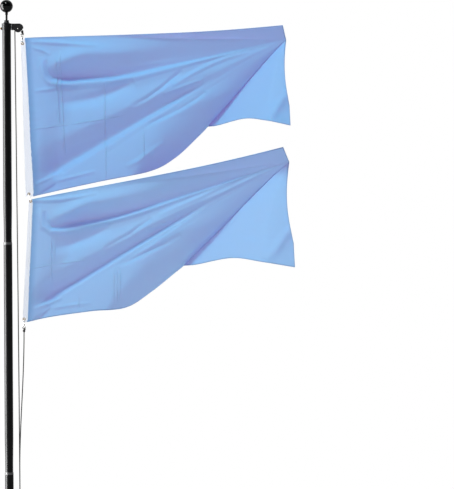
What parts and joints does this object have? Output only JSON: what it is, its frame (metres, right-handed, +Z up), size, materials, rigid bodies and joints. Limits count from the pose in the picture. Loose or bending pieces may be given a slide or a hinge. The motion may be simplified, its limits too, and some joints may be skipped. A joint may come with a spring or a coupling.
{
  "type": "flagpole",
  "caption": "Sectional aluminium flagpole with a ball finial, a pulley truck, a halyard, a cleat and plain blue flags on swivel snap hooks.",
  "frame": {"origin": "centre of the pole's foot at ground level", "axes": "+Z up along the pole, +X towards the pulley arm, the cleat and the flags, -Y towards the front"},
  "size_m": [1.7345, 0.3773, 6.2398],
  "materials": {
    "coated_tube": "satin black coating on drawn tube",
    "gloss_black": "gloss black coating",
    "matt_black": "matt black coating on a casting",
    "sheave_nylon": "moulded black nylon",
    "bare_aluminium": "sawn edge, uncoated",
    "nickel": "nickel-plated steel",
    "brass": "turned brass",
    "black_rope": "braided black polyester",
    "canvas": "white canvas heading",
    "flag_nylon": "plain light-blue woven nylon"
  },
  "bodies": {
    "pole": {"pole_section_1": "coated_tube", "pole_section_2": "coated_tube", "pole_section_3": "coated_tube", "pole_section_4": "coated_tube", "pole_section_5": "coated_tube", "truck_cap": "gloss_black", "hood_flange": "bare_aluminium", "sheave_hood": "matt_black", "sheave_pin": "nickel", "thumb_screw": "brass", "finial_spindle": "gloss_black", "finial_collar": "gloss_black", "finial_ball_lower": "gloss_black", "finial_ball_upper": "gloss_black", "cleat": "matt_black", "cleat_screw_lower": "nickel", "cleat_screw_upper": "nickel", "halyard_main_run": "black_rope"},
    "sheave": {"sheave": "sheave_nylon"},
    "hoist_line": {"top_knot": "black_rope", "top_snap_eye": "nickel", "bottom_knot": "black_rope", "bottom_snap_eye": "nickel", "halyard_top_fall": "black_rope", "halyard_lower_fall": "black_rope"},
    "flags": {"top_snap_hook": "nickel", "top_snap_gate": "nickel", "bottom_snap_hook": "nickel", "bottom_snap_gate": "nickel", "middle_link": "nickel", "upper_flag": "flag_nylon", "lower_flag": "flag_nylon", "upper_heading": "canvas", "lower_heading": "canvas", "upper_top_grommet": "brass", "upper_bottom_grommet": "brass", "lower_top_grommet": "brass", "lower_bottom_grommet": "brass"}
  },
  "joints": [
    {"name": "sheave_spin", "type": "hinge", "parent": "pole", "child": "sheave", "pos_m": [0.0672, 0, 6.0691], "axis": [0, 1, 0], "continuous": true},
    {"name": "flag_hoist", "type": "slide", "parent": "pole", "child": "hoist_line", "axis": [0, 0, -1], "range_m": [0, 2.4], "deforming": ["halyard_top_fall", "halyard_lower_fall"]},
    {"name": "flag_swing", "type": "hinge", "parent": "hoist_line", "child": "flags", "pos_m": [0.092, 0, 6.03], "axis": [0, 0, 1], "range_deg": [-120, 120]}
  ],
  "couplings": [
    {"joint": "sheave_spin", "follows": "flag_hoist", "rad_per_m": 54.9}
  ]
}
